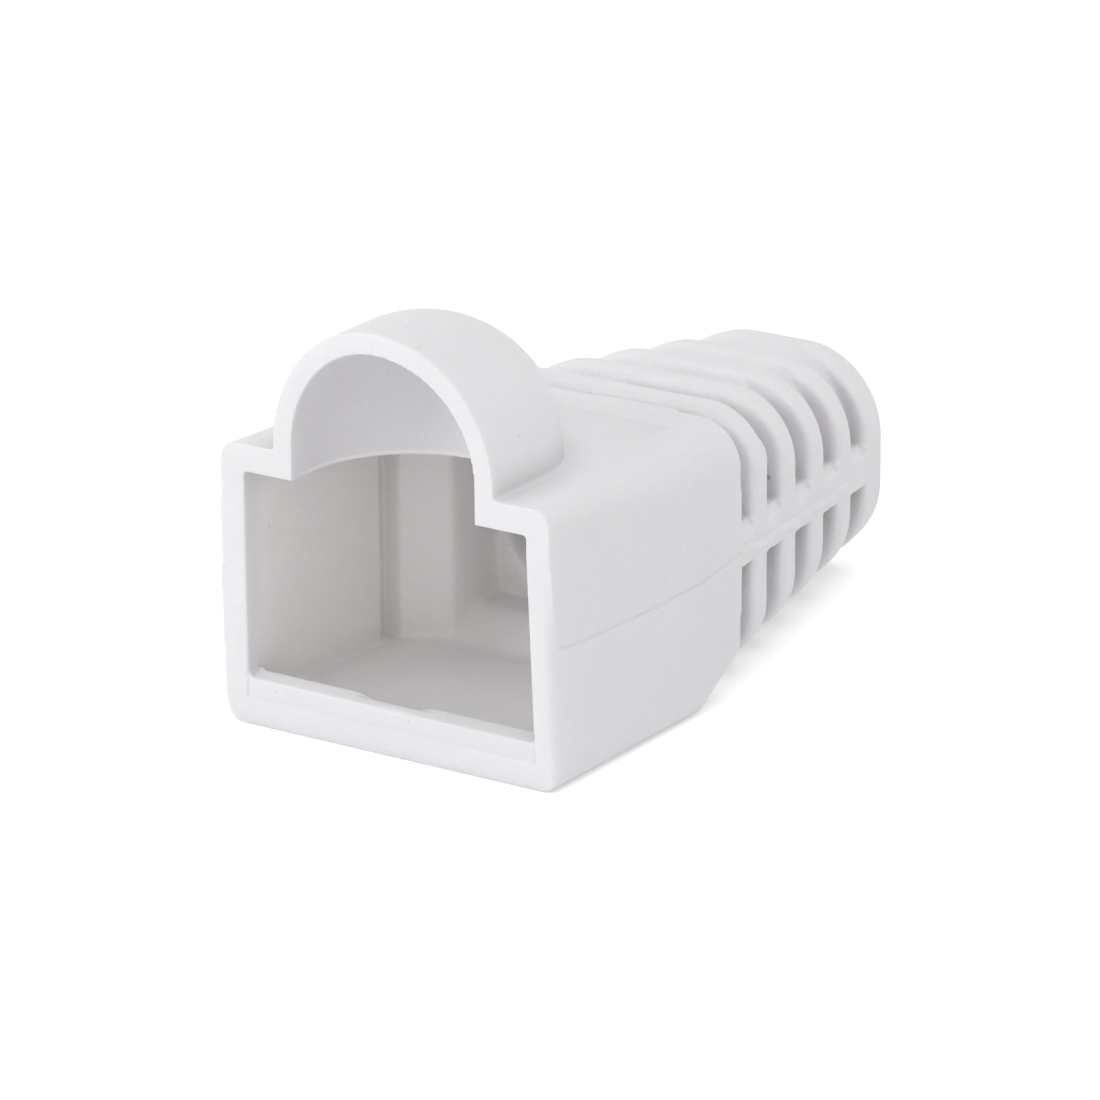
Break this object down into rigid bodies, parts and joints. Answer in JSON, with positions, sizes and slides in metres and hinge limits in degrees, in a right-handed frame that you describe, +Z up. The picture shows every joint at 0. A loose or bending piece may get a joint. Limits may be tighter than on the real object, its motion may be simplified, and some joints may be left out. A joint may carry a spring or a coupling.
{
  "type": "rj45 strain relief boot",
  "caption": "One-piece soft boot for a modular plug: open box with a latch hood and a ribbed, tapering tail round the cable.",
  "frame": {"origin": "middle of the mouth's lower edge, on the flat underside", "axes": "+X across the plug, +Y along the cable from the mouth towards the tail, +Z up towards the latch hood"},
  "size_m": [0.014, 0.0257, 0.015],
  "materials": {
    "boot": "matt moulded soft PVC, white, fine satin grain"
  },
  "bodies": {
    "root": {"strain_relief_boot": "boot"}
  },
  "joints": []
}
